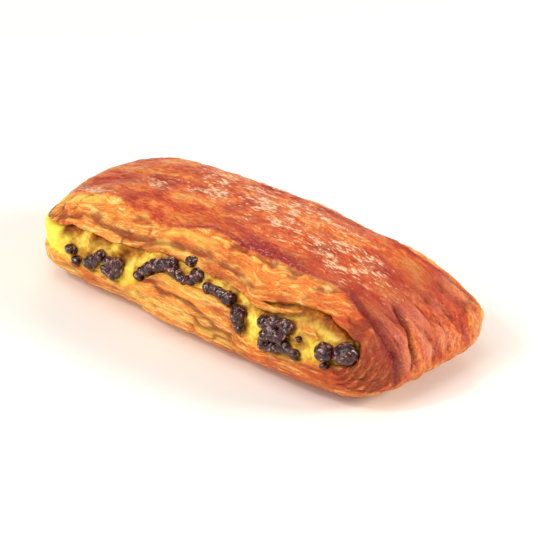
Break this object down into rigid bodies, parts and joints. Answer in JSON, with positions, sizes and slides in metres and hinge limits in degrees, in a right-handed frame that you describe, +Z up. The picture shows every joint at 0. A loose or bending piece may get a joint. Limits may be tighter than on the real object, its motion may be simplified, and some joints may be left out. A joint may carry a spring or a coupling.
{
  "type": "pain suisse",
  "caption": "Baked strip of laminated dough folded once over pastry cream and chocolate drops; lies flat on a tray, plate or shelf.",
  "frame": {"origin": "middle of the flat base, at the tray", "axes": "+X along the strip towards its folded end, -Y towards the front cut side, +Z up"},
  "size_m": [0.15, 0.0662, 0.035],
  "materials": {
    "baked_dough": "egg-washed, baked golden brown, glossy on top and dull on the cut sides",
    "pastry_cream": "baked pastry cream, soft satin",
    "dark_chocolate": "dark chocolate, satin gloss"
  },
  "bodies": {
    "root": {"dough": "baked_dough", "custard": "pastry_cream", "chocolate_drop_back_01": "dark_chocolate", "chocolate_drop_back_02": "dark_chocolate", "chocolate_drop_back_03": "dark_chocolate", "chocolate_drop_back_04": "dark_chocolate", "chocolate_drop_back_05": "dark_chocolate", "chocolate_drop_back_06": "dark_chocolate", "chocolate_drop_back_07": "dark_chocolate", "chocolate_drop_back_08": "dark_chocolate", "chocolate_drop_back_09": "dark_chocolate", "chocolate_drop_back_10": "dark_chocolate", "chocolate_drop_back_11": "dark_chocolate", "chocolate_drop_back_12": "dark_chocolate", "chocolate_drop_back_13": "dark_chocolate", "chocolate_drop_back_14": "dark_chocolate", "chocolate_drop_back_15": "dark_chocolate", "chocolate_drop_back_16": "dark_chocolate", "chocolate_drop_back_17": "dark_chocolate", "chocolate_drop_back_18": "dark_chocolate", "chocolate_drop_front_01": "dark_chocolate", "chocolate_drop_front_02": "dark_chocolate", "chocolate_drop_front_03": "dark_chocolate", "chocolate_drop_front_04": "dark_chocolate", "chocolate_drop_front_05": "dark_chocolate", "chocolate_drop_front_06": "dark_chocolate", "chocolate_drop_front_07": "dark_chocolate", "chocolate_drop_front_08": "dark_chocolate", "chocolate_drop_front_09": "dark_chocolate", "chocolate_drop_front_10": "dark_chocolate", "chocolate_drop_front_11": "dark_chocolate", "chocolate_drop_front_12": "dark_chocolate", "chocolate_drop_front_13": "dark_chocolate", "chocolate_drop_front_14": "dark_chocolate", "chocolate_drop_front_15": "dark_chocolate", "chocolate_drop_front_16": "dark_chocolate", "chocolate_drop_front_17": "dark_chocolate", "chocolate_drop_front_18": "dark_chocolate", "chocolate_drop_front_19": "dark_chocolate", "chocolate_drop_front_20": "dark_chocolate", "chocolate_drop_front_21": "dark_chocolate", "chocolate_drop_front_22": "dark_chocolate", "chocolate_drop_front_23": "dark_chocolate", "chocolate_drop_front_24": "dark_chocolate", "chocolate_drop_front_25": "dark_chocolate", "chocolate_drop_front_26": "dark_chocolate", "chocolate_drop_front_27": "dark_chocolate", "chocolate_drop_front_28": "dark_chocolate", "chocolate_drop_front_29": "dark_chocolate", "chocolate_drop_front_30": "dark_chocolate", "chocolate_drop_front_31": "dark_chocolate", "chocolate_drop_front_32": "dark_chocolate", "chocolate_drop_front_33": "dark_chocolate", "chocolate_drop_front_34": "dark_chocolate"}
  },
  "joints": []
}
